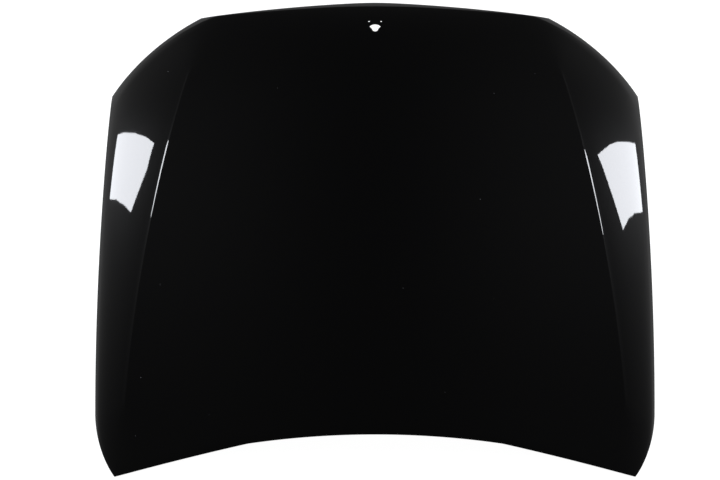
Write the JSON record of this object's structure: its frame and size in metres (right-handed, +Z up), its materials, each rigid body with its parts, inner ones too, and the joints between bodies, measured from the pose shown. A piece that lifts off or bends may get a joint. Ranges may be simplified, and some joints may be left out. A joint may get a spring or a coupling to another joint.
{
  "type": "car bonnet",
  "caption": "Crowned car bonnet with a hemmed outer skin, a ribbed inner frame, striker loops and an empty badge hole.",
  "frame": {"origin": "on the floor, under the middle of the bonnet's box, as it lies convex side up", "axes": "+Y to the front of the car, +X to the right seen from above with the nose away, +Z up"},
  "size_m": [1.4996, 1.2708, 0.1518],
  "materials": {
    "body_paint": "gloss black paint under clear coat",
    "frame_paint": "satin black paint",
    "coated_steel": "grey coated sheet steel",
    "zinc_plate": "zinc plated, satin",
    "buffer_rubber": "matt black rubber",
    "mastic": "dull beige mastic"
  },
  "bodies": {
    "root": {"outer_skin": "body_paint", "inner_frame": "frame_paint", "hinge_reinforcement_left": "coated_steel", "hinge_nut_left_rear": "coated_steel", "hinge_nut_left_front": "coated_steel", "latch_reinforcement_left": "coated_steel", "striker_plate_left": "zinc_plate", "striker_loop_left": "zinc_plate", "striker_nut_left_left": "coated_steel", "striker_nut_left_right": "coated_steel", "striker_bolt_left_left": "zinc_plate", "striker_bolt_left_right": "zinc_plate", "rubber_buffer_left": "buffer_rubber", "hinge_reinforcement_right": "coated_steel", "hinge_nut_right_rear": "coated_steel", "hinge_nut_right_front": "coated_steel", "latch_reinforcement_right": "coated_steel", "striker_plate_right": "zinc_plate", "striker_loop_right": "zinc_plate", "striker_nut_right_left": "coated_steel", "striker_nut_right_right": "coated_steel", "striker_bolt_right_left": "zinc_plate", "striker_bolt_right_right": "zinc_plate", "rubber_buffer_right": "buffer_rubber", "mastic_dab_1_1": "mastic", "mastic_dab_1_2": "mastic", "mastic_dab_1_3": "mastic", "mastic_dab_2_1": "mastic", "mastic_dab_2_2": "mastic", "mastic_dab_2_3": "mastic", "mastic_dab_3_1": "mastic", "mastic_dab_3_2": "mastic", "mastic_dab_3_3": "mastic", "mastic_dab_4_1": "mastic", "mastic_dab_4_2": "mastic", "mastic_dab_4_3": "mastic"}
  },
  "joints": []
}
